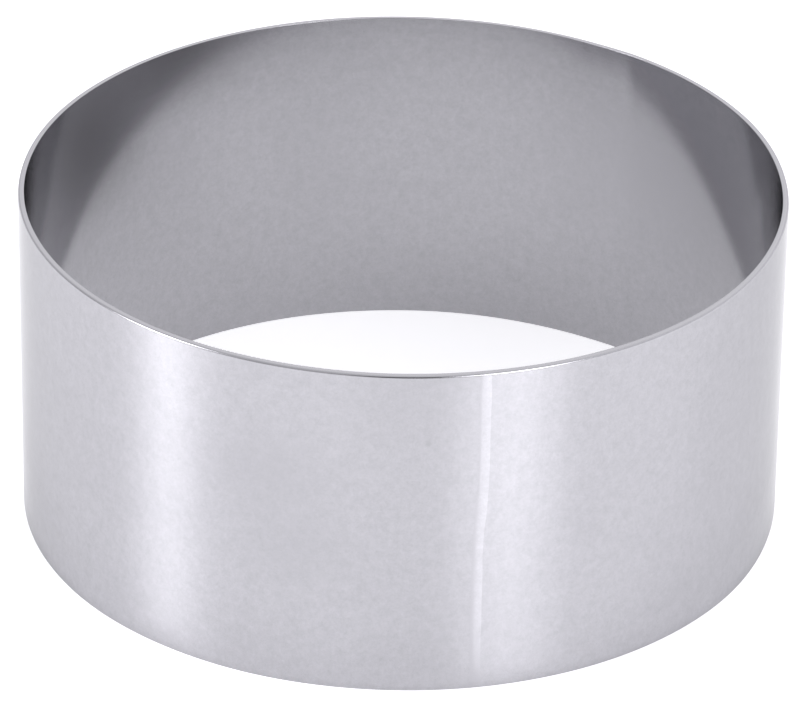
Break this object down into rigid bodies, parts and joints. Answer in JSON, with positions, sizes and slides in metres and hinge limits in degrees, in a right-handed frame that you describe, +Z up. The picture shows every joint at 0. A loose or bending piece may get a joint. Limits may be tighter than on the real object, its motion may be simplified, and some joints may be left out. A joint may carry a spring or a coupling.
{
  "type": "mousse ring",
  "caption": "Round open hoop of rolled steel strip, closed by an upright butt weld, that holds mousse or cake while it sets and then lifts off.",
  "frame": {"origin": "centre of the lower rim, on the surface that the ring stands on", "axes": "+Z up along the ring's axis, -Y towards the front, +X to the right of the front"},
  "size_m": [0.1, 0.1, 0.0455],
  "materials": {
    "satin_steel": "satin stainless steel with a fine grain round the strip",
    "weld_steel": "dressed weld bead, smoother and brighter than the strip"
  },
  "bodies": {
    "root": {"rolled_band": "satin_steel", "weld_seam": "weld_steel"}
  },
  "joints": []
}
